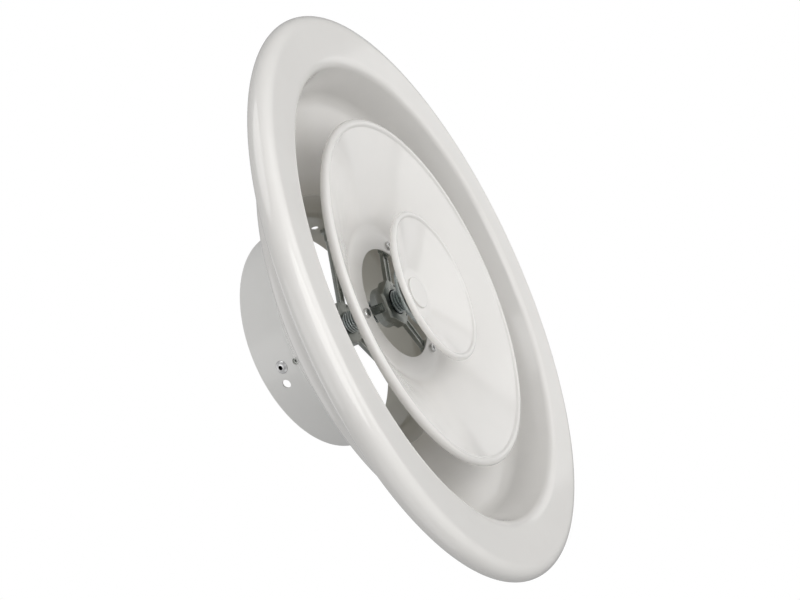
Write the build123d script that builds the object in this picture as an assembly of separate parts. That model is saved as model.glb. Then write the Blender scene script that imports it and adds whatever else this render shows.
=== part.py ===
from build123d import *
import os
from math import acos, atan2, cos, hypot, pi, radians, sin

# Round ceiling air diffuser for a 200 mm duct, in millimetres.
# +Z points up into the duct, the louvre faces look down, and the origin is the centre of the
# neck's open end. A fixed outer cone and neck hold a three-armed bridge with a threaded hub. A
# screw spindle turns in that hub and carries the middle and inner cones in and out.

# Heights below the neck's open end
LIP_Z = -133.0             # centre plane of the rolled outer lip
BRIDGE_Z = LIP_Z + 104.6   # lower face of the fixed bridge's hub
CARRIER_Z = LIP_Z + 55.6   # lower face of the moving carrier's hub
RING_Z = LIP_Z + 55.4      # lower face of the middle cone's flat ring
INNER_FLOOR_Z = LIP_Z + 35.4
SPINDLE_TOP_Z = LIP_Z + 140.0
TRAVEL_OUT = 12.0          # the core screws down to here and up by the rest of the thread
BRIDGE_ANGLE = -4.0        # direction of the fixed bridge's first arm
CARRIER_ANGLE = 2.7        # direction of the moving carrier's first arm

# Sheet metal
SHEET = 1.2
NECK_SHEET = 1.0
FACE_R = 215.0             # outside of the lip
LIP_ROLL = 6.8
LIP_HEM = 4.0              # how far the lip's sheet runs back inwards from its roll
FACE_EDGE_R = 188.0
FACE_EDGE_RISE = 6.5
FACE_EDGE_ROLL = 8.0
WALL_BEND = 18.0
NECK_R = 99.0              # outside of the neck
NECK_BELL = 10.0           # radius of the bell mouth between the neck and its flange
CONE_HOLE_R = 104.0
NECK_FLANGE_R = 112.5
CONE_SLOPE = atan2(44.5, 56.5)   # the outer cone, from the horizontal
CONE_PASSES = (169.0, 42.0)      # a point on its air side: radius, height above the lip

MIDDLE_RIM_R = 143.5
MIDDLE_RIM_Z = LIP_Z + 15.0
MIDDLE_ROLL = 3.1
MIDDLE_SLOPE = radians(24.3)
MIDDLE_CREASE = 2.0
MIDDLE_STEP = 1.2          # how far the rolled rim stands proud of the cone
RING_HOLE_R = 48.0
RING_BEND = 14.0
RING_FLAT_R = 62.0         # where the flat ring starts to bend down
CONE_SCREW_HOLE_R = 1.6
TRUMPET_R = 380.0          # the shallow bow of both moving cones
INNER_RIM_R = 64.2
INNER_RIM_Z = LIP_Z + 17.0
INNER_ROLL = 2.6
INNER_SLOPE = radians(23.5)
INNER_CREASE = 1.8
INNER_STEP = 1.0
INNER_FLOOR_R = 19.0
INNER_BEND = 8.0

# Spider castings: hub, arms and their ends
HUB_CORNER_R = 20.5
HUB_HEX_H = 8.5
HUB_BOSS_R = 17.5
HUB_BOSS_H = 6.4
HUB_BEVEL = 1.7
HUB_PIN_HOLE_R = 1.1
HUB_PIN_CIRCLE = 15.4
HUB_PIN_HOLE_D = 8.0
ARM_ROOT = 14.0            # where an arm starts inside its hub
ARM_W = 7.6
ARM_RISE = 3.6             # how far an arm starts above the hub's lower face
ARM_H = 4.0
ARM_GROOVE_W = 4.8
ARM_GROOVE_D = 1.7
ARM_GROOVE_ENDS = (21.5, 6.0)   # from the axis, and short of the arm's end
PAD_W = 11.0
FOOT_W = 9.0
FOOT_T = 4.0
FOOT_Z = (LIP_Z + 94.5, LIP_Z + 116.0)
FOOT_BLOCK = 15.0          # length of the wide end of a bridge arm
TAIL_POCKET = (8.0, 7.0, 3.5)   # room for a rivet's tail: length, width, height over its axis
FOOT_PILOT_R = 1.3
RIVET_Z = LIP_Z + 112.2
RIVET_R = 2.4
RIVET_HEAD_R = 4.8
RIVET_HEAD_H = 1.7
RIVET_TAIL_R = 3.2
RIVET_BORE_R = 1.6
RIVET_TAIL_H = 2.4
SCREW_CIRCLE = 56.5
SCREW_R = 1.45
SCREW_L = 6.4
SCREW_HEAD_R = 4.1
SCREW_HEAD_H = 2.2
SCREW_SLOT = (4.0, 1.0)

# Holes in the neck, beside each rivet
PILOT_Z = LIP_Z + 99.2
PILOT_R = 2.5
DUCT_HOLE_Z = LIP_Z + 115.7
DUCT_HOLE_R = 3.3
DUCT_HOLE_ANGLE = -7.3     # from the rivet

# Spindle and what turns with it
THREAD_R = 10.0
THREAD_PITCH = 2.5
THREAD_DEPTH = 1.35
HUB_BORE_R = 10.08         # running fit over the thread's crests
GROOVE_R = 9.0
CLIP_R = 12.2
CLIP_T = 1.2
CLIP_GAP = 0.05
WASHER_T = 1.5
WASHER_GAP = 0.15
END_PLAY = 0.1
RECESS_R = 11.2            # counterbore in the carrier's hub, for the lower snap ring
RECESS_D = 1.6
SNAP_R = 11.0
WASHER_R = 15.0
DISC_R = 30.0
DISC_RIM_H = 4.0
DISC_RIM_T = 2.0
DISC_T = 2.0
DISC_BEVEL = 2.0
GASKET_R = 19.0
GASKET_T = 0.8
DISC_Z = INNER_FLOOR_Z + SHEET + GASKET_T - (DISC_RIM_H - DISC_T)   # the disc's lower edge
SCREW_HOLE_R = 3.3
CENTRE_SCREW_R = 3.0
CENTRE_SCREW_L = 20.0
CENTRE_HEAD_R = 8.0
CENTRE_HEAD_H = 1.1
CENTRE_SLOT_W = 1.4
CAP_R = 13.5
CAP_H = 1.8
CAP_WALL = 0.6

ARMS = range(3)
UPWARDS = (Align.CENTER, Align.CENTER, Align.MIN)
OVERCUT = 1.0              # how far a cutting tool runs past a face


def polar(radius, degrees, z=0.0):
    return Vector(radius * cos(radians(degrees)), radius * sin(radians(degrees)), z)


def arm_angle(first, index):
    return first + 120.0 * index


# ---- Spun sheet: a section drawn as tangent lines between rolled bends, turned about Z ----

def belt(nodes):
    """Edges of a path that runs tangent to each (r, z, bend): a positive bend turns left."""
    marks = [[] for _ in nodes]
    for i in range(len(nodes) - 1):
        (r1, z1, b1), (r2, z2, b2) = nodes[i], nodes[i + 1]
        span = hypot(r2 - r1, z2 - z1)
        normal = atan2(z2 - z1, r2 - r1) + acos((b2 - b1) / span)
        for mark, (r, z, bend) in ((marks[i], nodes[i]), (marks[i + 1], nodes[i + 1])):
            mark.append((r - bend * cos(normal), z - bend * sin(normal), normal))
    edges = []
    for i, (r, z, bend) in enumerate(nodes):
        if len(marks[i]) == 2 and abs(bend) > 1e-6:
            a, b = marks[i][0][2], marks[i][1][2]
            turn = (b - a) % (2 * pi) if bend > 0 else -((a - b) % (2 * pi))
            half = a + turn / 2
            middle = (r - bend * cos(half), z - bend * sin(half))
            edges.append(ThreePointArc(marks[i][0][:2], middle, marks[i][1][:2]))
        if i + 1 < len(nodes):
            edges.append(Line(marks[i][-1][:2], marks[i + 1][0][:2]))
    return edges, marks[0][0], marks[-1][-1]


def sheet_section(nodes, thickness):
    """The face between a path and the same path moved to its right by the sheet's thickness."""
    edges, start, end = belt(nodes)
    moved = []
    for i, (r, z, bend) in enumerate(nodes):
        if i in (0, len(nodes) - 1):
            normal = (start if i == 0 else end)[2]
            moved.append((r - thickness * cos(normal), z - thickness * sin(normal), 0.0))
        else:
            moved.append((r, z, bend + thickness))
    back, back_start, back_end = belt(moved)
    caps = [Line(start[:2], back_start[:2]), Line(end[:2], back_end[:2])]
    return make_face(Wire(edges + back + caps))


def spin(section):
    return revolve(Plane.XZ * section, Axis.Z)


def ring(outer, inner, z_low, height):
    solid = Pos(0, 0, z_low) * Cylinder(outer, height, align=UPWARDS)
    if inner > 0:
        solid -= Pos(0, 0, z_low - OVERCUT) * Cylinder(inner, height + 2 * OVERCUT, align=UPWARDS)
    return solid


def radial_rod(radius, inside, outside, degrees, z):
    """A round bar lying along a radius, between two distances from the axis."""
    bar = Cylinder(radius, outside - inside, align=UPWARDS)
    return Pos(0, 0, z) * Rot(0, 0, degrees) * Pos(inside, 0, 0) * Rot(0, 90, 0) * bar


def neck_hole(radius, degrees, z):
    """A round cutter through the neck's sheet alone."""
    return radial_rod(radius, NECK_R - 9, NECK_R + 6, degrees, z)


def box_along(length_from, length_to, width, z_low, z_high, degrees):
    """A bar of rectangular section lying along a radius."""
    bar = Box(length_to - length_from, width, z_high - z_low,
              align=(Align.MIN, Align.CENTER, Align.MIN))
    return Rot(0, 0, degrees) * Pos(length_from, 0, z_low) * bar


# ---- Fixed body: outer cone, neck, bridge and rivets ----

def cone_height(radius):
    """Height of the outer cone's air side at a radius."""
    r0, d0 = CONE_PASSES
    return LIP_Z + d0 + (r0 - radius) * sin(CONE_SLOPE) / cos(CONE_SLOPE)


def make_outer_cone():
    lip_r = FACE_R - LIP_ROLL
    tangent_r, tangent_z = CONE_PASSES
    bend_r = tangent_r - WALL_BEND * sin(CONE_SLOPE)
    bend_z = LIP_Z + tangent_z - WALL_BEND * cos(CONE_SLOPE)
    nodes = [
        (lip_r - LIP_HEM, LIP_Z + LIP_ROLL, 0.0),
        (lip_r, LIP_Z, -LIP_ROLL),
        (FACE_EDGE_R, LIP_Z + FACE_EDGE_RISE, -FACE_EDGE_ROLL),
        (bend_r, bend_z, WALL_BEND),
        (CONE_HOLE_R, cone_height(CONE_HOLE_R), 0.0),
    ]
    return spin(sheet_section(nodes, SHEET))


def make_neck_collar():
    flange_lift = NECK_SHEET / cos(CONE_SLOPE)
    inside = NECK_R - NECK_SHEET
    flange_start = (NECK_FLANGE_R, cone_height(NECK_FLANGE_R) - flange_lift)
    corner_z = cone_height(inside) - flange_lift
    turn = pi / 2 - CONE_SLOPE
    tangent = NECK_BELL * sin(turn / 2) / cos(turn / 2)
    nodes = [
        (*flange_start, 0.0),
        (inside + NECK_BELL, corner_z + tangent, -NECK_BELL),
        (inside, 0.0, 0.0),
    ]
    collar = spin(sheet_section(nodes, NECK_SHEET))
    for i in ARMS:
        angle = arm_angle(BRIDGE_ANGLE, i)
        collar -= neck_hole(RIVET_R, angle, RIVET_Z)
        collar -= neck_hole(PILOT_R, angle, PILOT_Z)
        collar -= neck_hole(DUCT_HOLE_R, angle + DUCT_HOLE_ANGLE, DUCT_HOLE_Z)
    return collar


def make_hub(face_z, first_angle, recess):
    """A hexagonal hub with a round boss above it and its three arm flats bevelled below."""
    hexagon = RegularPolygon(HUB_CORNER_R, 6, rotation=first_angle + 30)
    hub = Pos(0, 0, face_z) * extrude(hexagon, HUB_HEX_H)
    flat = HUB_CORNER_R * cos(radians(30))
    corners = [(flat - 1.9 * HUB_BEVEL, -HUB_BEVEL), (flat + HUB_BEVEL, -HUB_BEVEL),
               (flat + HUB_BEVEL, 2.1 * HUB_BEVEL)]
    wedge = extrude(Plane.XZ * make_face(Polyline(*corners, close=True)), HUB_BOSS_R, both=True)
    for i in ARMS:
        hub -= Pos(0, 0, face_z) * Rot(0, 0, arm_angle(first_angle, i)) * wedge
    hub += ring(HUB_BOSS_R, 0, face_z, HUB_HEX_H + HUB_BOSS_H)
    hub -= ring(HUB_BORE_R, 0, face_z - OVERCUT, HUB_HEX_H + HUB_BOSS_H + 2 * OVERCUT)
    if recess:
        hub -= ring(RECESS_R, 0, face_z - OVERCUT, RECESS_D + OVERCUT)
    return hub


def make_arm(face_z, reach, degrees):
    """An arm of channel section, open on its lower side."""
    low = face_z + ARM_RISE
    start, short = ARM_GROOVE_ENDS
    half = ARM_GROOVE_W / 2
    arm = box_along(ARM_ROOT, reach, ARM_W, low, low + ARM_H, degrees)
    groove = box_along(start + half, reach - short, ARM_GROOVE_W, low - OVERCUT,
                       low + ARM_GROOVE_D, degrees)
    round_end = Cylinder(half, ARM_GROOVE_D + OVERCUT, align=UPWARDS)
    return arm - groove - Pos(polar(start + half, degrees, low - OVERCUT)) * round_end


def pin_holes(hub, face_z, first_angle):
    for i in ARMS:
        at = polar(HUB_PIN_CIRCLE, arm_angle(first_angle, i), face_z - OVERCUT)
        hub -= Pos(at) * Cylinder(HUB_PIN_HOLE_R, HUB_PIN_HOLE_D + OVERCUT, align=UPWARDS)
    return hub


def make_bridge():
    """The fixed spider: its feet lie against the inside of the neck."""
    inside = NECK_R - NECK_SHEET
    low, high = FOOT_Z
    pocket_l, pocket_w, pocket_h = TAIL_POCKET
    bridge = make_hub(BRIDGE_Z, BRIDGE_ANGLE, False)
    for i in ARMS:
        angle = arm_angle(BRIDGE_ANGLE, i)
        bridge += make_arm(BRIDGE_Z, inside - 2, angle)
        bridge += box_along(inside - FOOT_T, inside + 3, FOOT_W, low, high, angle)
        bridge += box_along(inside - FOOT_BLOCK, inside, PAD_W, BRIDGE_Z + ARM_RISE,
                            BRIDGE_Z + ARM_RISE + ARM_H, angle)
    bridge &= ring(inside, 0, low, -low)
    for i in ARMS:
        angle = arm_angle(BRIDGE_ANGLE, i)
        bridge -= radial_rod(RIVET_R, inside - FOOT_BLOCK, NECK_R, angle, RIVET_Z)
        bridge -= radial_rod(FOOT_PILOT_R, inside - FOOT_BLOCK, NECK_R, angle, PILOT_Z)
        bridge -= box_along(inside - FOOT_T - pocket_l, inside - FOOT_T, pocket_w, BRIDGE_Z,
                            RIVET_Z + pocket_h, angle)
    return pin_holes(bridge, BRIDGE_Z, BRIDGE_ANGLE).solid()


def make_rivet(degrees):
    """A blind rivet: domed head outside the neck, set tail inside the bridge's foot."""
    grip = NECK_SHEET + FOOT_T
    dome_r = (RIVET_HEAD_R ** 2 + RIVET_HEAD_H ** 2) / (2 * RIVET_HEAD_H)
    dome = Pos(0, 0, RIVET_HEAD_H - dome_r) * Sphere(dome_r)
    rivet = dome & ring(RIVET_HEAD_R, 0, 0, RIVET_HEAD_H)
    rivet += ring(RIVET_R, 0, -grip - 1, grip + 1.2)
    tail = ring(RIVET_TAIL_R, 0, -grip - RIVET_TAIL_H, RIVET_TAIL_H)
    rivet += fillet(tail.edges().group_by(Axis.Z)[0], 1.0)
    rivet -= ring(RIVET_BORE_R, 0, -1.5, 1.5 + 2 * RIVET_HEAD_H)
    lie_outwards = Pos(NECK_R, 0, 0) * Rot(0, 90, 0)
    return Pos(0, 0, RIVET_Z) * Rot(0, 0, degrees) * lie_outwards * rivet


# ---- Sliding body: middle cone on its carrier ----

def rolled_rim(rim_r, rim_z, roll, slope, crease, step):
    """A rolled bead that stands proud of its cone by step, with a small crease inside it."""
    u = (-cos(slope), sin(slope))
    n = (-sin(slope), -cos(slope))
    across = roll - step + crease
    along = ((roll + crease) ** 2 - across ** 2) ** 0.5 + 0.1
    bead_r = rim_r - roll
    return [
        (bead_r - 1.2, rim_z + roll, 0.0),
        (bead_r, rim_z, -roll),
        (bead_r + across * n[0] + along * u[0], rim_z + across * n[1] + along * u[1], crease),
    ]


def bow(start, end, radius):
    """A shallow arc through two points, bulging towards the room."""
    chord = hypot(end[0] - start[0], end[1] - start[1])
    u = ((end[0] - start[0]) / chord, (end[1] - start[1]) / chord)
    rise = (radius ** 2 - chord ** 2 / 4) ** 0.5
    middle = ((start[0] + end[0]) / 2, (start[1] + end[1]) / 2)
    return (middle[0] + rise * u[1], middle[1] - rise * u[0], -radius)


def make_middle_cone():
    rim_side = (MIDDLE_RIM_R - 12.5, MIDDLE_RIM_Z + 2.3)
    ring_side = (RING_FLAT_R + 12.5, RING_Z - 5.0)
    nodes = rolled_rim(MIDDLE_RIM_R, MIDDLE_RIM_Z, MIDDLE_ROLL, MIDDLE_SLOPE, MIDDLE_CREASE,
                       MIDDLE_STEP)
    nodes += [
        bow(rim_side, ring_side, TRUMPET_R),
        (RING_FLAT_R, RING_Z - RING_BEND, RING_BEND),
        (RING_HOLE_R, RING_Z, 0.0),
    ]
    cone = spin(sheet_section(nodes, SHEET))
    for i in ARMS:
        at = polar(SCREW_CIRCLE, arm_angle(CARRIER_ANGLE, i), RING_Z)
        cone -= Pos(at) * Cylinder(CONE_SCREW_HOLE_R, 4 * SHEET)
    return cone


def make_carrier():
    """The moving spider: pads on its arms carry the middle cone's ring."""
    carrier = make_hub(CARRIER_Z, CARRIER_ANGLE, True)
    pad_low = RING_Z + SHEET
    pad_high = CARRIER_Z + ARM_RISE + ARM_H
    for i in ARMS:
        angle = arm_angle(CARRIER_ANGLE, i)
        carrier += make_arm(CARRIER_Z, SCREW_CIRCLE - 4, angle)
        carrier += box_along(SCREW_CIRCLE - 6.5, SCREW_CIRCLE + 5.5, PAD_W, pad_low, pad_high, angle)
        at = polar(SCREW_CIRCLE, angle, pad_low - OVERCUT)
        carrier -= Pos(at) * Cylinder(SCREW_R, SCREW_L + OVERCUT, align=UPWARDS)
    return pin_holes(carrier, CARRIER_Z, CARRIER_ANGLE).solid()


def make_cone_screw(degrees):
    """A pan-head cross-recess screw, driven upwards through the ring into an arm's pad."""
    long, wide = SCREW_SLOT
    head = ring(SCREW_HEAD_R, 0, -SCREW_HEAD_H, SCREW_HEAD_H)
    head = fillet(head.edges().group_by(Axis.Z)[0], 1.5)
    head += Cylinder(SCREW_R, SCREW_L, align=UPWARDS)
    cross = Box(long, wide, SCREW_HEAD_H) + Box(wide, long, SCREW_HEAD_H)
    screw = head - Rot(0, 0, 25) * Pos(0, 0, -SCREW_HEAD_H) * cross
    return Pos(polar(SCREW_CIRCLE, degrees, RING_Z)) * screw


# ---- Turning body: spindle, disc and inner cone ----

def clip_groove(z_low):
    return ring(THREAD_R + 1, GROOVE_R, z_low - CLIP_GAP, CLIP_T + 2 * CLIP_GAP)


def split_ring(outer, z_low, opening):
    """A ring for a groove in the spindle, with a gap to spring it on through."""
    gap = Pos(GROOVE_R + 2, 0, z_low + CLIP_T / 2) * Box(7, 4.2, 3 * CLIP_T)
    return ring(outer, GROOVE_R + CLIP_GAP, z_low, CLIP_T) - Rot(0, 0, opening) * gap


def make_clip(z_low, opening):
    """A retaining ring with two eyed lugs beside its gap."""
    clip = split_ring(CLIP_R, z_low, opening)
    for side in (-1, 1):
        eye = Pos(polar(GROOVE_R + 2.0, opening + side * 21, z_low - 1))
        clip -= eye * Cylinder(0.75, 4, align=UPWARDS)
    return clip.solid()


def make_spindle():
    """The screw: a single V-groove per pitch, clip grooves, and a tapped hole in its lower end."""
    low = DISC_Z + DISC_RIM_H
    core = ring(THREAD_R, 0, low, SPINDLE_TOP_Z - low)
    core = chamfer(core.edges().group_by(Axis.Z)[-1], 1.5)
    root = THREAD_R - THREAD_DEPTH
    half = THREAD_PITCH / 2
    notch = [(root, -0.15), (THREAD_R + 0.2, -half), (THREAD_R + 0.2, half), (root, 0.15)]
    groove = revolve(Plane.XZ * make_face(Polyline(*notch, close=True)), Axis.Z)
    turns = int((SPINDLE_TOP_Z - low - 3) / THREAD_PITCH)
    core -= [Pos(0, 0, low + (i + 1) * THREAD_PITCH) * groove for i in range(turns)]
    for name in ("lower_clip", "upper_clip", "stop_clip"):
        core -= clip_groove(HEIGHTS[name])
    return core - ring(CENTRE_SCREW_R, 0, low - 1, CENTRE_SCREW_L - 2)


def make_disc():
    """A zinc cup washer that backs the inner cone."""
    disc = ring(DISC_R, 0, DISC_Z, DISC_RIM_H)
    disc = chamfer(disc.edges().group_by(Axis.Z)[-1], DISC_BEVEL)
    disc -= ring(SCREW_HOLE_R, 0, DISC_Z - OVERCUT, DISC_RIM_H + 2 * OVERCUT)
    hollow = ring(DISC_R - DISC_RIM_T, 0, DISC_Z - OVERCUT, DISC_RIM_H - DISC_T + OVERCUT)
    return disc - hollow


def make_inner_cone():
    rim_side = (INNER_RIM_R - 11.5, INNER_RIM_Z + 2.5)
    floor_side = (INNER_FLOOR_R + 7.0, INNER_FLOOR_Z - 2.4)
    nodes = rolled_rim(INNER_RIM_R, INNER_RIM_Z, INNER_ROLL, INNER_SLOPE, INNER_CREASE,
                       INNER_STEP)
    nodes += [
        bow(rim_side, floor_side, TRUMPET_R),
        (INNER_FLOOR_R, INNER_FLOOR_Z - INNER_BEND, INNER_BEND),
        (SCREW_HOLE_R, INNER_FLOOR_Z, 0.0),
    ]
    return spin(sheet_section(nodes, SHEET))


def make_centre_screw():
    """A flat-headed screw that pulls the inner cone, gasket and disc onto the spindle's end."""
    head = ring(CENTRE_HEAD_R, 0, INNER_FLOOR_Z - CENTRE_HEAD_H, CENTRE_HEAD_H)
    slot = Box(CENTRE_SLOT_W, 3 * CENTRE_HEAD_R, CENTRE_HEAD_H)
    head -= Pos(0, 0, INNER_FLOOR_Z - CENTRE_HEAD_H) * slot
    return head + ring(CENTRE_SCREW_R, 0, INNER_FLOOR_Z, CENTRE_SCREW_L)


def make_cap():
    """A shallow round cover over the centre screw, open towards the inner cone's floor."""
    low = INNER_FLOOR_Z - CAP_H
    cap = ring(CAP_R, 0, low, CAP_H)
    cap = fillet(cap.edges().group_by(Axis.Z)[0], 0.9)
    return cap - ring(CAP_R - CAP_WALL, 0, low + CAP_WALL, CAP_H)


def stack():
    """Heights of the discs and rings along the spindle, from the room end upwards."""
    boss_top = CARRIER_Z + HUB_HEX_H + HUB_BOSS_H
    bridge_top = BRIDGE_Z + HUB_HEX_H + HUB_BOSS_H
    stop = bridge_top + TRAVEL_OUT + END_PLAY
    return {
        "lower_clip": CARRIER_Z + RECESS_D - END_PLAY - CLIP_T,
        "upper_washer": boss_top + END_PLAY,
        "upper_clip": boss_top + END_PLAY + WASHER_T + CLIP_GAP,
        "stop_washer": stop,
        "stop_clip": stop + WASHER_T + CLIP_GAP,
    }


def make_washer(z_low):
    return ring(WASHER_R, THREAD_R + WASHER_GAP, z_low, WASHER_T)


HEIGHTS = stack()
PIECES = {}
for name, make in (
    ("outer_cone", make_outer_cone),
    ("neck_collar", make_neck_collar),
    ("fixed_bridge", make_bridge),
    ("middle_cone", make_middle_cone),
    ("carrier", make_carrier),
    ("spindle", make_spindle),
    ("drive_disc", make_disc),
    ("inner_cone", make_inner_cone),
    ("centre_screw", make_centre_screw),
    ("centre_cap", make_cap),
):
    PIECES[name] = make()
for i in ARMS:
    PIECES[f"neck_rivet_{i + 1}"] = make_rivet(arm_angle(BRIDGE_ANGLE, i))
    PIECES[f"cone_screw_{i + 1}"] = make_cone_screw(arm_angle(CARRIER_ANGLE, i))
PIECES["gasket"] = ring(GASKET_R, SCREW_HOLE_R, INNER_FLOOR_Z + SHEET, GASKET_T)
PIECES["upper_thrust_washer"] = make_washer(HEIGHTS["upper_washer"])
PIECES["stop_washer"] = make_washer(HEIGHTS["stop_washer"])
PIECES["lower_clip"] = split_ring(SNAP_R, HEIGHTS["lower_clip"], 160).solid()
PIECES["upper_clip"] = make_clip(HEIGHTS["upper_clip"], 180)
PIECES["stop_clip"] = make_clip(HEIGHTS["stop_clip"], 300)

os.makedirs("parts", exist_ok=True)
for name, piece in PIECES.items():
    export_step(piece, f"parts/{name}.step")
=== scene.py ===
from math import acos, atan2, ceil, cos, hypot, pi, radians, sin, tan, tau

import bmesh
import bpy
from mathutils import Matrix, Vector


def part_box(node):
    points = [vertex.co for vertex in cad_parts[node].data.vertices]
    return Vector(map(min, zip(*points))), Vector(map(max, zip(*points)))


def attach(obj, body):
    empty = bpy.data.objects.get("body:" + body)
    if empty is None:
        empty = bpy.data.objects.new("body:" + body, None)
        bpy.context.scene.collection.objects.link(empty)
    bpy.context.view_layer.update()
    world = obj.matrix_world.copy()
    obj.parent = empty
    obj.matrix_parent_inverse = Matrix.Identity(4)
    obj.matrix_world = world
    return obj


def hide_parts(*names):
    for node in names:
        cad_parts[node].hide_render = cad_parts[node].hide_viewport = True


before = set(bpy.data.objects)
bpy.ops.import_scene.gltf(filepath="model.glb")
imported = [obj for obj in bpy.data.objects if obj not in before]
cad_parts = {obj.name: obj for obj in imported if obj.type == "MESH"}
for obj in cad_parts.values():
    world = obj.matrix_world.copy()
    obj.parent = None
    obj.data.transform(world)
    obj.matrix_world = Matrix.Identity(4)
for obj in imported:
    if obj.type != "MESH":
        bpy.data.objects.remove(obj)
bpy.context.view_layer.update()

# A round ceiling air diffuser. The spun cones, the neck and the threaded spindle are made here
# with finer meshes than the CAD's. The castings and the disc are copies of CAD nodes with rounded
# edges, and the other pieces are CAD nodes with a better material.

MM = 0.001

# ---- Sizes, as the CAD has them, with heights read from the frame ----

SHEET = 1.2 * MM
NECK_SHEET = 1.0 * MM
LIP_ROLL = 6.8 * MM
LIP_HEM = 4.0 * MM         # how far the lip's sheet runs back inwards from its roll
LIP_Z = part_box("outer_cone")[0].z + LIP_ROLL
FACE_R = 215.0 * MM
FACE_EDGE_R = 188.0 * MM
FACE_EDGE_RISE = 6.5 * MM
FACE_EDGE_ROLL = 8.0 * MM
WALL_BEND = 18.0 * MM
CONE_SLOPE = atan2(44.5, 56.5)
CONE_PASSES = (169.0 * MM, LIP_Z + 42.0 * MM)    # a point on the cone's air side
CONE_HOLE_R = 104.0 * MM

NECK_R = 99.0 * MM
NECK_TOP_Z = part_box("neck_collar")[1].z
NECK_BELL = 10.0 * MM
NECK_FLANGE_R = 112.5 * MM
RIVET_R = 2.4 * MM
RIVET_Z = LIP_Z + 112.2 * MM
RIVET_HEAD_R = 4.8 * MM
MANDREL_R = 1.6 * MM
RIVET_ANGLE = radians(-4.0)      # direction of the first rivet
PILOT_R = 2.5 * MM
PILOT_Z = LIP_Z + 99.2 * MM
DUCT_HOLE_R = 3.3 * MM
DUCT_HOLE_Z = LIP_Z + 115.7 * MM
DUCT_HOLE_ANGLE = radians(-7.3)  # from the rivet

RIM_END = 1.2 * MM         # how far a rolled rim's sheet runs back inwards
TRUMPET_R = 380.0 * MM     # the shallow bow of both moving cones
MIDDLE_RIM_R = 143.5 * MM
MIDDLE_ROLL = 3.1 * MM
MIDDLE_RIM_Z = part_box("middle_cone")[0].z + MIDDLE_ROLL
MIDDLE_SLOPE = radians(24.3)
MIDDLE_CREASE = 2.0 * MM
MIDDLE_STEP = 1.2 * MM
RING_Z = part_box("middle_cone")[1].z - SHEET
RING_HOLE_R = 48.0 * MM
RING_FLAT_R = 62.0 * MM
RING_BEND = 14.0 * MM
INNER_RIM_R = 64.2 * MM
INNER_ROLL = 2.6 * MM
INNER_RIM_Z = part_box("inner_cone")[0].z + INNER_ROLL
INNER_SLOPE = radians(23.5)
INNER_CREASE = 1.8 * MM
INNER_STEP = 1.0 * MM
INNER_FLOOR_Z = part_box("inner_cone")[1].z - SHEET
INNER_FLOOR_R = 19.0 * MM
INNER_BEND = 8.0 * MM
SCREW_HOLE_R = 3.3 * MM

SPINDLE_LOW_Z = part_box("spindle")[0].z
SPINDLE_TOP_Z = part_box("spindle")[1].z
THREAD_R = 10.0 * MM
THREAD_PITCH = 2.5 * MM
THREAD_DEPTH = 1.35 * MM
THREAD_FLANK = 0.44        # of a pitch, from a crest to the middle of a root
THREAD_ROOT = 0.94         # of the depth, where the root is cut off
SPINDLE_CHAMFER = 1.5 * MM

# ---- How finely the meshes follow those sizes ----

BEND_TURN = radians(7)     # the most that one step of a bend turns
BEND_SPAN = 4 * MM         # the longest step of a bend
CUT_SOFTNESS = 0.35 * MM   # how far paint rounds a cut edge
CUT_STEPS = 6
LONG_RUN = 6 * MM
HOLDING = 1 * MM           # how far a holding point is from the end of a long run
SMOOTH_BELOW = radians(38)
DRILL_LENGTH = 8 * MM
SAME_POINT = 0.001 * MM
SAME_PLANE = radians(0.6)
SHARP_EDGE = radians(28)
CAST_EDGE = 0.5 * MM
DISC_EDGE = 0.3 * MM
THREAD_JOIN = 0.002 * MM


# ---- Sections: a path of tangent lines between rolled bends, as points ----

def arc_points(centre, bend, start, end):
    """Points on a bend from one normal's angle to another: a positive bend turns left."""
    turn = (end - start) % tau if bend > 0 else -((start - end) % tau)
    steps = max(3, ceil(abs(turn) / BEND_TURN), ceil(abs(turn * bend) / BEND_SPAN))
    points = []
    for i in range(steps + 1):
        normal = start + turn * i / steps
        points.append((centre[0] - bend * cos(normal), centre[1] - bend * sin(normal)))
    return points


def belt(nodes):
    """Points along a path that runs tangent to each (r, z, bend), and its first and last normals."""
    marks = [[] for _ in nodes]
    for i in range(len(nodes) - 1):
        (r1, z1, b1), (r2, z2, b2) = nodes[i], nodes[i + 1]
        span = hypot(r2 - r1, z2 - z1)
        normal = atan2(z2 - z1, r2 - r1) + acos((b2 - b1) / span)
        marks[i].append(normal)
        marks[i + 1].append(normal)
    points = []
    for (r, z, bend), normals in zip(nodes, marks):
        if len(normals) == 2 and bend:
            points += arc_points((r, z), bend, normals[0], normals[1])
        else:
            points.append((r, z))
    return points, marks[0][0], marks[-1][-1]


def rounded_end(a, b, out):
    """The cut edge of a sheet from a to b, softened as paint softens it."""
    middle = ((a[0] + b[0]) / 2, (a[1] + b[1]) / 2)
    half = ((b[0] - a[0]) / 2, (b[1] - a[1]) / 2)
    points = []
    for i in range(CUT_STEPS + 1):
        t = pi * i / CUT_STEPS
        side, lift = -cos(t), (sin(t) - 1) * CUT_SOFTNESS
        points.append((middle[0] + side * half[0] + lift * out[0],
                       middle[1] + side * half[1] + lift * out[1]))
    return points


def sheet_outline(nodes, thickness):
    """The closed outline of a sheet: the path, its far edge, and the path moved to its right."""
    front, first, last = belt(nodes)
    moved = []
    for i, (r, z, bend) in enumerate(nodes):
        if i in (0, len(nodes) - 1):
            normal = first if i == 0 else last
            moved.append((r - thickness * cos(normal), z - thickness * sin(normal), 0.0))
        else:
            moved.append((r, z, bend + thickness))
    back = belt(moved)[0]
    ahead = (sin(last), -cos(last))
    behind = (-sin(first), cos(first))
    far = rounded_end(front[-1], back[-1], ahead)
    near = rounded_end(back[0], front[0], behind)
    return near[1:] + front[1:-1] + far + back[-2:0:-1] + near[:1]


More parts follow.
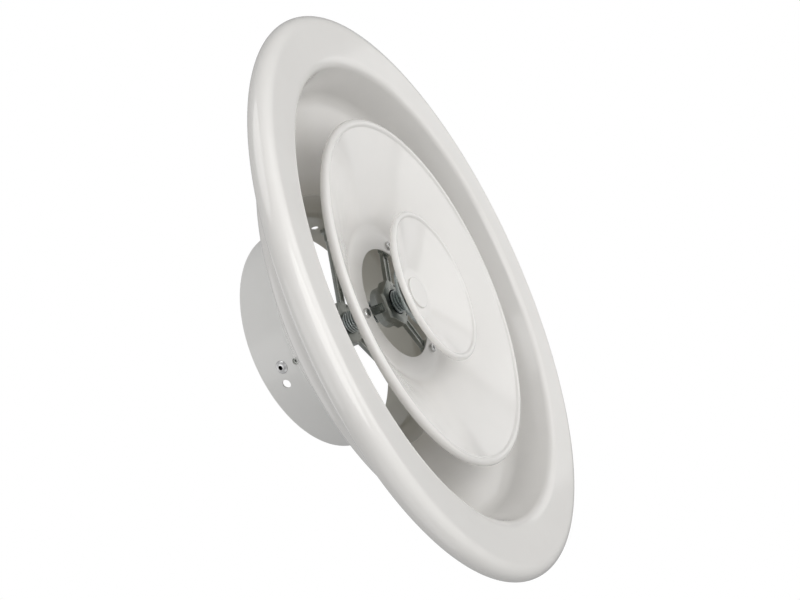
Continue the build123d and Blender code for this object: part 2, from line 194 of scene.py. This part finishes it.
def with_holding_points(outline):
    """The outline with points beside the ends of its long runs, which keep shading in the bends."""
    points = []
    for (r1, z1), (r2, z2) in zip(outline, outline[1:] + outline[:1]):
        points.append((r1, z1))
        span = hypot(r2 - r1, z2 - z1)
        if span > LONG_RUN:
            for t in (HOLDING / span, 1 - HOLDING / span):
                points.append((r1 + t * (r2 - r1), z1 + t * (z2 - z1)))
    return points


# ---- Meshes ----

def shade(mesh):
    mesh.shade_smooth()
    mesh.set_sharp_from_angle(angle=SMOOTH_BELOW)


def new_object(name, bm):
    mesh = bpy.data.meshes.new(name)
    bmesh.ops.recalc_face_normals(bm, faces=bm.faces)
    bm.to_mesh(mesh)
    bm.free()
    piece = bpy.data.objects.new(name, mesh)
    bpy.context.scene.collection.objects.link(piece)
    shade(mesh)
    return piece


def lathe(name, outline, segments):
    """A closed (r, z) outline turned about the Z axis."""
    outline = with_holding_points(outline)
    count = len(outline)
    bm = bmesh.new()
    rings = []
    for s in range(segments):
        turn = tau * s / segments
        rings.append([bm.verts.new((r * cos(turn), r * sin(turn), z)) for r, z in outline])
    for s in range(segments):
        one, two = rings[s], rings[(s + 1) % segments]
        for i in range(count):
            j = (i + 1) % count
            bm.faces.new((one[i], one[j], two[j], two[i]))
    return new_object(name, bm)


def drill(piece, holes):
    """Cuts round radial holes, each (radius, angle, height), through the neck."""
    bm = bmesh.new()
    for radius, angle, z in holes:
        matrix = (Matrix.Translation((0, 0, z)) @ Matrix.Rotation(angle, 4, "Z")
                  @ Matrix.Translation((NECK_R, 0, 0)) @ Matrix.Rotation(pi / 2, 4, "Y"))
        bmesh.ops.create_cone(bm, cap_ends=True, segments=48, radius1=radius, radius2=radius,
                              depth=DRILL_LENGTH, matrix=matrix)
    cutter = new_object("cutter", bm)
    cut = piece.modifiers.new("cut", "BOOLEAN")
    cut.object = cutter
    cut.solver = "EXACT"
    drilled = piece.evaluated_get(bpy.context.evaluated_depsgraph_get())
    mesh = bpy.data.meshes.new_from_object(drilled)
    piece.modifiers.clear()
    piece.data = mesh
    bpy.data.objects.remove(cutter)
    shade(mesh)


def softened(node, radius):
    """A copy of a CAD node whose sharp edges are rounded a little."""
    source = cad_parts[node]
    bm = bmesh.new()
    bm.from_mesh(source.data)
    bm.transform(source.matrix_world)
    bmesh.ops.remove_doubles(bm, verts=bm.verts, dist=SAME_POINT)
    bmesh.ops.dissolve_limit(bm, angle_limit=SAME_PLANE, verts=bm.verts, edges=bm.edges)
    sharp = [e for e in bm.edges if len(e.link_faces) == 2 and e.calc_face_angle() > SHARP_EDGE]
    bmesh.ops.bevel(bm, geom=sharp, offset=radius, offset_type="OFFSET", segments=2,
                    profile=0.5, affect="EDGES", clamp_overlap=True)
    return new_object(node + "_softened", bm)


# ---- The spun pieces ----

def cone_height(radius):
    """Height of the outer cone's air side at a radius."""
    return CONE_PASSES[1] + (CONE_PASSES[0] - radius) * tan(CONE_SLOPE)


def make_outer_cone():
    """The rolled lip with its hem, the flat face, the wall's bend and the cone up to its hole."""
    lip_r = FACE_R - LIP_ROLL
    nodes = [
        (lip_r - LIP_HEM, LIP_Z + LIP_ROLL, 0.0),
        (lip_r, LIP_Z, -LIP_ROLL),
        (FACE_EDGE_R, LIP_Z + FACE_EDGE_RISE, -FACE_EDGE_ROLL),
        (CONE_PASSES[0] - WALL_BEND * sin(CONE_SLOPE), CONE_PASSES[1] - WALL_BEND * cos(CONE_SLOPE),
         WALL_BEND),
        (CONE_HOLE_R, cone_height(CONE_HOLE_R), 0.0),
    ]
    return lathe("outer_cone_spun", sheet_outline(nodes, SHEET), segments=384)


def rivet_angles():
    return [RIVET_ANGLE + radians(120.0 * i) for i in range(3)]


def neck_holes():
    """Radius, angle and height of the rivet, pilot and duct screw holes at each bridge arm."""
    holes = []
    for arm in rivet_angles():
        holes.append((RIVET_R, arm, RIVET_Z))
        holes.append((PILOT_R, arm, PILOT_Z))
        holes.append((DUCT_HOLE_R, arm + DUCT_HOLE_ANGLE, DUCT_HOLE_Z))
    return holes


def make_neck():
    """The neck, with a bell mouth and a flange that lies on the outer cone's air side."""
    lift = NECK_SHEET / cos(CONE_SLOPE)
    inside = NECK_R - NECK_SHEET
    half_turn = (pi / 2 - CONE_SLOPE) / 2
    bell_z = cone_height(inside) - lift + NECK_BELL * tan(half_turn)
    nodes = [
        (NECK_FLANGE_R, cone_height(NECK_FLANGE_R) - lift, 0.0),
        (inside + NECK_BELL, bell_z, -NECK_BELL),
        (inside, NECK_TOP_Z, 0.0),
    ]
    neck = lathe("neck_spun", sheet_outline(nodes, NECK_SHEET), segments=288)
    drill(neck, neck_holes())
    return neck


def rolled_rim(rim_r, rim_z, roll, slope, crease, step):
    """A rolled bead that stands proud of its cone by step, with a small crease inside it."""
    u = (-cos(slope), sin(slope))
    n = (-sin(slope), -cos(slope))
    across = roll - step + crease
    along = ((roll + crease) ** 2 - across ** 2) ** 0.5 + 0.1 * MM
    bead_r = rim_r - roll
    return [
        (bead_r - RIM_END, rim_z + roll, 0.0),
        (bead_r, rim_z, -roll),
        (bead_r + across * n[0] + along * u[0], rim_z + across * n[1] + along * u[1], crease),
    ]


def bow(start, end, radius):
    """A shallow arc through two points, bulging towards the room."""
    chord = hypot(end[0] - start[0], end[1] - start[1])
    u = ((end[0] - start[0]) / chord, (end[1] - start[1]) / chord)
    rise = (radius ** 2 - chord ** 2 / 4) ** 0.5
    middle = ((start[0] + end[0]) / 2, (start[1] + end[1]) / 2)
    return (middle[0] + rise * u[1], middle[1] - rise * u[0], -radius)


def make_middle_cone():
    """The bow passes through a point beside the rim and one beside the flat ring."""
    rim_side = (MIDDLE_RIM_R - 12.5 * MM, MIDDLE_RIM_Z + 2.3 * MM)
    ring_side = (RING_FLAT_R + 12.5 * MM, RING_Z - 5.0 * MM)
    nodes = rolled_rim(MIDDLE_RIM_R, MIDDLE_RIM_Z, MIDDLE_ROLL, MIDDLE_SLOPE, MIDDLE_CREASE,
                       MIDDLE_STEP)
    nodes += [
        bow(rim_side, ring_side, TRUMPET_R),
        (RING_FLAT_R, RING_Z - RING_BEND, RING_BEND),
        (RING_HOLE_R, RING_Z, 0.0),
    ]
    return lathe("middle_cone_spun", sheet_outline(nodes, SHEET), segments=320)


def make_inner_cone():
    """The bow passes through a point beside the rim and one beside the flat floor."""
    rim_side = (INNER_RIM_R - 11.5 * MM, INNER_RIM_Z + 2.5 * MM)
    floor_side = (INNER_FLOOR_R + 7.0 * MM, INNER_FLOOR_Z - 2.4 * MM)
    nodes = rolled_rim(INNER_RIM_R, INNER_RIM_Z, INNER_ROLL, INNER_SLOPE, INNER_CREASE, INNER_STEP)
    nodes += [
        bow(rim_side, floor_side, TRUMPET_R),
        (INNER_FLOOR_R, INNER_FLOOR_Z - INNER_BEND, INNER_BEND),
        (SCREW_HOLE_R, INNER_FLOOR_Z, 0.0),
    ]
    return lathe("inner_cone_spun", sheet_outline(nodes, SHEET), segments=224)


# ---- The threaded spindle ----

def thread_radius(step, steps):
    """Radius across one pitch of a V thread with a narrow flat crest and a blunted root."""
    depth = max(0.0, 1.0 - abs(step / steps - 0.5) / THREAD_FLANK)
    return THREAD_R - THREAD_DEPTH * min(depth, THREAD_ROOT)


def make_spindle():
    """A helical thread from end to end, cut flat below and above and chamfered at the top."""
    segments, steps = 72, 10
    pitches = (SPINDLE_TOP_Z - SPINDLE_LOW_Z) / THREAD_PITCH
    rows = int(pitches * steps) + 2 * steps
    bm = bmesh.new()
    columns = []
    for s in range(segments + 1):
        turn = tau * s / segments
        column = []
        for row in range(rows + 1):
            z = SPINDLE_LOW_Z + THREAD_PITCH * (row / steps - 1 + s / segments)
            z = min(max(z, SPINDLE_LOW_Z), SPINDLE_TOP_Z)
            chamfer_r = THREAD_R - SPINDLE_CHAMFER + (SPINDLE_TOP_Z - z)
            r = min(thread_radius(row % steps, steps), chamfer_r)
            column.append(bm.verts.new((r * cos(turn), r * sin(turn), z)))
        columns.append(column)
    for one, two in zip(columns, columns[1:]):
        for row in range(rows):
            bm.faces.new((one[row], two[row], two[row + 1], one[row + 1]))
    bmesh.ops.remove_doubles(bm, verts=bm.verts, dist=THREAD_JOIN)
    open_edges = [e for e in bm.edges if e.is_boundary]
    bmesh.ops.holes_fill(bm, edges=open_edges, sides=0)
    return new_object("spindle_threaded", bm)


# ---- Shader nodes: each function adds one step and gives its output ----

def shader(name, colour, metallic, roughness):
    material = bpy.data.materials.new(name)
    material.use_nodes = True
    tree = material.node_tree
    tree.nodes.clear()
    output = tree.nodes.new("ShaderNodeOutputMaterial")
    bsdf = tree.nodes.new("ShaderNodeBsdfPrincipled")
    tree.links.new(bsdf.outputs["BSDF"], output.inputs["Surface"])
    bsdf.inputs["Base Color"].default_value = (*colour, 1.0)
    bsdf.inputs["Metallic"].default_value = metallic
    bsdf.inputs["Roughness"].default_value = roughness
    return material, tree, bsdf


def object_point(tree):
    """A point's place in the object's frame, in metres."""
    return tree.nodes.new("ShaderNodeTexCoord").outputs["Object"]


def surface_normal(tree):
    return tree.nodes.new("ShaderNodeNewGeometry").outputs["Normal"]


def vector_math(tree, operation, first, second=None, output="Vector"):
    """The first input is a node's output. The second is an output, a constant or nothing."""
    node = tree.nodes.new("ShaderNodeVectorMath")
    node.operation = operation
    tree.links.new(first, node.inputs[0])
    if isinstance(second, tuple):
        node.inputs[1].default_value = second
    elif second is not None:
        tree.links.new(second, node.inputs[1])
    return node.outputs[output]


def multiply(tree, a, b):
    node = tree.nodes.new("ShaderNodeMath")
    node.operation = "MULTIPLY"
    tree.links.new(a, node.inputs[0])
    tree.links.new(b, node.inputs[1])
    return node.outputs["Value"]


def map_range(tree, value, source, target):
    node = tree.nodes.new("ShaderNodeMapRange")
    node.inputs["From Min"].default_value = source[0]
    node.inputs["From Max"].default_value = source[1]
    node.inputs["To Min"].default_value = target[0]
    node.inputs["To Max"].default_value = target[1]
    tree.links.new(value, node.inputs["Value"])
    return node.outputs["Result"]


def spread(tree, factor, low, high):
    """A noise's usual span, 0.3 to 0.7, spread from low to high."""
    return map_range(tree, factor, (0.3, 0.7), (low, high))


def mix(tree, factor, a, b):
    """Mixes colour b over colour a; b is a colour, a is another node's output."""
    node = tree.nodes.new("ShaderNodeMix")
    node.data_type = "RGBA"
    node.inputs["B"].default_value = (*b, 1.0)
    tree.links.new(factor, node.inputs["Factor"])
    tree.links.new(a, node.inputs["A"])
    return node.outputs["Result"]


def ramp(tree, factor, stops):
    node = tree.nodes.new("ShaderNodeValToRGB")
    elements = node.color_ramp.elements
    for element, (position, colour) in zip(elements, stops):
        element.position = position
        element.color = (*colour, 1.0)
    for position, colour in stops[2:]:
        elements.new(position).color = (*colour, 1.0)
    tree.links.new(factor, node.inputs["Fac"])
    return node.outputs["Color"]


def noise(tree, scale, detail, roughness=0.5):
    texture = tree.nodes.new("ShaderNodeTexNoise")
    texture.inputs["Scale"].default_value = scale
    texture.inputs["Detail"].default_value = detail
    texture.inputs["Roughness"].default_value = roughness
    tree.links.new(object_point(tree), texture.inputs["Vector"])
    return texture.outputs["Fac"]


def from_axis(tree):
    """The level vector from the Z axis to a point."""
    return vector_math(tree, "MULTIPLY", object_point(tree), (1, 1, 0))


def axis_distance(tree):
    """Distance of a point from the Z axis, in metres."""
    return vector_math(tree, "LENGTH", from_axis(tree), output="Value")


def facing_axis(tree):
    """1 on the side of a sheet that faces the Z axis and 0 on its back, with a short fade between."""
    agree = vector_math(tree, "DOT_PRODUCT", from_axis(tree), surface_normal(tree), output="Value")
    return map_range(tree, agree, (0.0, -0.02), (0.0, 1.0))


def edges(tree, radius):
    """1 on an edge, where a rounded normal turns 31 degrees away, and 0 where it turns 8 or less."""
    rounded = tree.nodes.new("ShaderNodeBevel")
    rounded.samples = 6
    rounded.inputs["Radius"].default_value = radius
    agree = vector_math(tree, "DOT_PRODUCT", rounded.outputs["Normal"], surface_normal(tree),
                        output="Value")
    return map_range(tree, agree, (0.99, 0.86), (0.0, 1.0))


def bump(tree, bsdf, layers):
    """Stacks (height, strength, distance) bumps under the shader's normal."""
    below = None
    for height, strength, distance in layers:
        node = tree.nodes.new("ShaderNodeBump")
        node.inputs["Strength"].default_value = strength
        node.inputs["Distance"].default_value = distance
        tree.links.new(height, node.inputs["Height"])
        if below:
            tree.links.new(below, node.inputs["Normal"])
        below = node.outputs["Normal"]
    tree.links.new(below, bsdf.inputs["Normal"])


# ---- Materials ----

ENAMEL_LIGHT = (0.80, 0.785, 0.76)
ENAMEL_DARK = (0.78, 0.765, 0.74)
INSIDE_SHADE_FADE = (128.0 * MM, 106.0 * MM)    # where the painted shade comes in, going in to the neck
CONE_INSIDE_SHADE = (0.60, 0.575, 0.51)         # painted shade, darker and warmer, inside the outer cone
NECK_INSIDE_SHADE = (0.49, 0.475, 0.42)           # painted shade, darker and warmer, inside the neck
# Radius of the lighter edges on plated parts: partly wear, partly painted highlight.
EDGE_WEAR_AND_HIGHLIGHT = 0.7 * MM
RIVET_RIM = 0.45 * MM                     # width of the shade round a rivet's head
MANDREL_EDGE = 0.15 * MM


def powder_coat(name, light, dark, roughness, inside=None):
    """Off-white enamel on spun sheet: faint mottle, orange peel and slow waves, and painted shade
    inside when given.
    """
    material, tree, bsdf = shader(name, light, 0.0, roughness)
    colour = ramp(tree, noise(tree, 16, 4, 0.6), [(0.3, dark), (0.7, light)])
    # Painted shade: the side facing the axis turns darker and warmer going in, where little light
    # reaches.
    if inside:
        inside_shade_amount = map_range(tree, axis_distance(tree), INSIDE_SHADE_FADE, (0.0, 1.0))
        colour = mix(tree, multiply(tree, inside_shade_amount, facing_axis(tree)), colour, inside)
    shine = spread(tree, noise(tree, 60, 3), roughness - 0.03, roughness + 0.05)
    tree.links.new(colour, bsdf.inputs["Base Color"])
    tree.links.new(shine, bsdf.inputs["Roughness"])
    bsdf.inputs["Coat Weight"].default_value = 0.5
    bsdf.inputs["Coat Roughness"].default_value = 0.08
    orange_peel = (noise(tree, 300, 2), 0.02, 0.03 * MM)
    slow_waves = (noise(tree, 14, 1), 0.05, 0.4 * MM)
    bump(tree, bsdf, [orange_peel, slow_waves])
    return material


def zinc(name, light, dark, roughness, grain, bumpiness, edge_wear_and_highlight=None):
    """Plated metal: cloudy passivated colour, uneven shine, fine grain, and lighter edges that are
    partly wear and partly painted highlight.
    """
    material, tree, bsdf = shader(name, light, 1.0, roughness)
    cloud = noise(tree, 55, 5, 0.65)
    colour = ramp(tree, cloud, [(0.32, dark), (0.68, light)])
    # Lighter edges: partly wear, partly a painted highlight where edges catch the light.
    if edge_wear_and_highlight:
        colour = mix(tree, edges(tree, EDGE_WEAR_AND_HIGHLIGHT), colour, edge_wear_and_highlight)
    shine = spread(tree, noise(tree, 180, 4), roughness - 0.08, roughness + 0.1)
    tree.links.new(colour, bsdf.inputs["Base Color"])
    tree.links.new(shine, bsdf.inputs["Roughness"])
    bump(tree, bsdf, [(noise(tree, grain, 3), bumpiness, 0.06 * MM), (cloud, 0.1, 0.1 * MM)])
    return material


def thread_plate(name):
    """Zinc plate on a thread: a painted highlight on the crests, painted shade in the roots, and
    random patches of dirt.
    """
    material, tree, bsdf = shader(name, (0.5, 0.54, 0.53), 1.0, 0.3)
    # The colour by radius paints shade in the roots and a highlight on the crests.
    height = map_range(tree, axis_distance(tree), (THREAD_R - THREAD_DEPTH, THREAD_R), (0.0, 1.0))
    steel = ramp(tree, height, [(0.1, (0.13, 0.15, 0.15)), (0.6, (0.34, 0.38, 0.38)),
                                (1.0, (0.66, 0.70, 0.70))])
    grime = noise(tree, 260, 4, 0.6)
    dirt = map_range(tree, grime, (0.5, 0.8), (0.0, 0.5))
    tree.links.new(mix(tree, dirt, steel, (0.16, 0.17, 0.16)), bsdf.inputs["Base Color"])
    tree.links.new(spread(tree, grime, 0.2, 0.4), bsdf.inputs["Roughness"])
    return material


def rivet_metal(name, angle):
    """Polished aluminium round a rivet's steel mandrel, with painted shade at the head's rim and a
    near-black painted shade over the mandrel's end.
    """
    material, tree, bsdf = shader(name, (0.86, 0.86, 0.86), 1.0, 0.3)
    from_rivet = vector_math(tree, "SUBTRACT", object_point(tree), (0, 0, RIVET_Z))
    across = vector_math(tree, "CROSS_PRODUCT", from_rivet, (cos(angle), sin(angle), 0))
    radius = vector_math(tree, "LENGTH", across, output="Value")
    cloud = noise(tree, 400, 3)
    aluminium = ramp(tree, cloud, [(0.3, (0.78, 0.78, 0.78)), (0.7, (0.90, 0.90, 0.90))])
    rim = map_range(tree, radius, (RIVET_HEAD_R - RIVET_RIM, RIVET_HEAD_R), (0.0, 0.75))
    rimmed = mix(tree, rim, aluminium, (0.25, 0.25, 0.25))
    # Painted shade: the mandrel's end is painted near black, as the shade in the recess it sits in.
    hole = map_range(tree, radius, (MANDREL_R + MANDREL_EDGE, MANDREL_R), (0.0, 1.0))
    tree.links.new(mix(tree, hole, rimmed, (0.012, 0.012, 0.012)), bsdf.inputs["Base Color"])
    tree.links.new(spread(tree, cloud, 0.25, 0.36), bsdf.inputs["Roughness"])
    return material


def rubber(name):
    material, tree, bsdf = shader(name, (0.02, 0.02, 0.02), 0.0, 0.75)
    black = ramp(tree, noise(tree, 300, 3), [(0.3, (0.015, 0.015, 0.015)),
                                             (0.7, (0.035, 0.034, 0.033))])
    tree.links.new(black, bsdf.inputs["Base Color"])
    bump(tree, bsdf, [(noise(tree, 1500, 2), 0.3, 0.1 * MM)])
    return material


PAINT = powder_coat("gloss_powder_coat", ENAMEL_LIGHT, ENAMEL_DARK, 0.16)
CONE_PAINT = powder_coat("gloss_powder_coat_cone", ENAMEL_LIGHT, ENAMEL_DARK, 0.16, CONE_INSIDE_SHADE)
NECK_PAINT = powder_coat("satin_powder_coat", light=(0.84, 0.835, 0.815), dark=(0.815, 0.81, 0.79),
                         roughness=0.38, inside=NECK_INSIDE_SHADE)
CAST = zinc("zinc_cast", light=(0.43, 0.445, 0.42), dark=(0.32, 0.335, 0.315), roughness=0.33,
            grain=900, bumpiness=0.2, edge_wear_and_highlight=(0.85, 0.86, 0.83))
PLATE = zinc("zinc_plate", light=(0.50, 0.54, 0.53), dark=(0.34, 0.38, 0.38), roughness=0.26,
             grain=700, bumpiness=0.08, edge_wear_and_highlight=(0.8, 0.82, 0.82))
BRIGHT = zinc("bright_plate", light=(0.70, 0.70, 0.69), dark=(0.55, 0.55, 0.54), roughness=0.2,
              grain=700, bumpiness=0.1)
PHOSPHATE = zinc("black_phosphate", light=(0.07, 0.07, 0.07), dark=(0.04, 0.04, 0.04), roughness=0.5,
                 grain=900, bumpiness=0.2)
THREAD = thread_plate("zinc_thread")
RUBBER = rubber("gasket_rubber")


# ---- The pieces on their bodies ----

def paint(piece, material):
    piece.data.materials.clear()
    piece.data.materials.append(material)


def place(piece, body, node, material):
    """Puts a piece on a body in place of a CAD node."""
    paint(piece, material)
    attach(piece, body)
    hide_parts(node)


def finish_node(node, material):
    """Gives a better material to a CAD node whose shape stays."""
    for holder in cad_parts[node].material_slots:
        holder.material = material


for piece, body, node, slot, material in (
    (make_outer_cone(), "frame", "outer_cone", "painted_sheet", CONE_PAINT),
    (make_neck(), "frame", "neck_collar", "painted_neck", NECK_PAINT),
    (make_middle_cone(), "middle", "middle_cone", "painted_sheet", PAINT),
    (make_inner_cone(), "core", "inner_cone", "painted_sheet", PAINT),
    (make_spindle(), "core", "spindle", "zinc_plate", THREAD),
    (softened("fixed_bridge", CAST_EDGE), "frame", "fixed_bridge", "zinc_casting", CAST),
    (softened("carrier", CAST_EDGE), "middle", "carrier", "zinc_casting", CAST),
    (softened("drive_disc", DISC_EDGE), "core", "drive_disc", "zinc_plate", PLATE),
):
    place(piece, body, node, material)
for node, material in (
    ("centre_cap", PAINT),
    ("gasket", RUBBER),
    ("centre_screw", BRIGHT),
    ("cone_screw_1", BRIGHT),
    ("cone_screw_2", BRIGHT),
    ("cone_screw_3", BRIGHT),
    ("upper_thrust_washer", PLATE),
    ("stop_washer", PLATE),
    ("lower_clip", PHOSPHATE),
    ("upper_clip", PHOSPHATE),
    ("stop_clip", PHOSPHATE),
):
    finish_node(node, material)
for i, angle in enumerate(rivet_angles(), start=1):
    finish_node(f"neck_rivet_{i}", rivet_metal(f"rivet_aluminium_{i}", angle))


# ---- Floor, light and camera ----

FLOOR_Z = -0.75
FLOOR_R = 1.0
LIGHT_AIM = Vector((0.0, 0.0, -0.08))
LIGHTS = (                 # name, direction seen from the object, distance, size, watts
    ("right", (0.53, 0.85, 0.0), 1.2, 0.9, 3.0),
    ("left", (0.53, -0.85, 0.0), 1.2, 0.9, 0.8),
    ("front", (0.85, 0.0, -0.53), 1.1, 0.85, 0.45),
    ("below_front", (0.45, 0.0, -0.89), 0.62, 0.5, 1.3),
    ("below_back", (-0.45, 0.0, -0.89), 0.62, 0.5, 0.45),
    ("below_right", (0.0, 0.36, -0.93), 0.62, 0.5, 0.4),
    ("back", (-0.85, 0.0, -0.53), 1.1, 0.85, 0.8),
    ("front_high", (0.9, 0.0, 0.43), 1.2, 0.9, 1.8),
    ("above", (0.0, 0.0, 1.0), 1.2, 0.9, 0.65),
)
GLOW_BELOW, GLOW_LEVEL, GLOW_ABOVE = 0.42, 0.27, 0.5


def make_floor():
    bm = bmesh.new()
    bmesh.ops.create_circle(bm, cap_ends=True, segments=96, radius=FLOOR_R)
    floor = new_object("floor", bm)
    floor.location.z = FLOOR_Z
    paint(floor, shader("pale_floor", (0.92, 0.92, 0.92), 0.0, 0.8)[0])


def make_softbox(name, direction, distance, size, watts):
    """A round soft light seen from the object in a direction, facing the object."""
    lamp = bpy.data.lights.new(name, "AREA")
    lamp.shape = "DISK"
    lamp.size = size
    lamp.energy = watts
    holder = bpy.data.objects.new(name, lamp)
    away = Vector(direction).normalized()
    holder.location = LIGHT_AIM + distance * away
    holder.rotation_euler = away.to_track_quat("Z", "Y").to_euler()
    holder.visible_camera = False
    bpy.context.scene.collection.objects.link(holder)


def make_world():
    """White to the camera. As a light it is dim round the sides and brighter above and below."""
    world = bpy.data.worlds.new("studio")
    bpy.context.scene.world = world
    world.use_nodes = True
    tree = world.node_tree
    direction = tree.nodes.new("ShaderNodeTexCoord")
    parts = tree.nodes.new("ShaderNodeSeparateXYZ")
    tree.links.new(direction.outputs["Generated"], parts.inputs["Vector"])
    height = map_range(tree, parts.outputs["Z"], (-1.0, 1.0), (0.0, 1.0))
    glow = ramp(tree, height, [(0.0, (GLOW_BELOW,) * 3), (0.5, (GLOW_LEVEL,) * 3),
                               (1.0, (GLOW_ABOVE,) * 3)])
    path = tree.nodes.new("ShaderNodeLightPath")
    seen = mix(tree, path.outputs["Is Camera Ray"], glow, (1.0, 1.0, 1.0))
    tree.links.new(seen, tree.nodes["Background"].inputs["Color"])


def make_camera():
    """At the photograph's viewing angle, below the lip and to one side."""
    camera = bpy.data.cameras.new("camera")
    camera.lens = 24.39
    camera.sensor_width = 36.0
    camera.shift_x = -0.009
    camera.shift_y = -0.020
    camera.clip_start = 0.01
    across = (-0.3622, -0.4144, -0.8349)
    up = (-0.1649, 0.9101, -0.3802)
    back = (0.9174, 0.0, -0.3980)
    turn = Matrix((across, up, back)).transposed()
    holder = bpy.data.objects.new("camera", camera)
    holder.matrix_world = Matrix.Translation((0.4091, 0.0099, LIP_Z - 0.1373)) @ turn.to_4x4()
    bpy.context.scene.collection.objects.link(holder)
    bpy.context.scene.camera = holder


make_floor()
make_world()
for name, direction, distance, size, watts in LIGHTS:
    make_softbox(name, direction, distance, size, watts)
make_camera()
bpy.context.scene.view_settings.view_transform = "Standard"
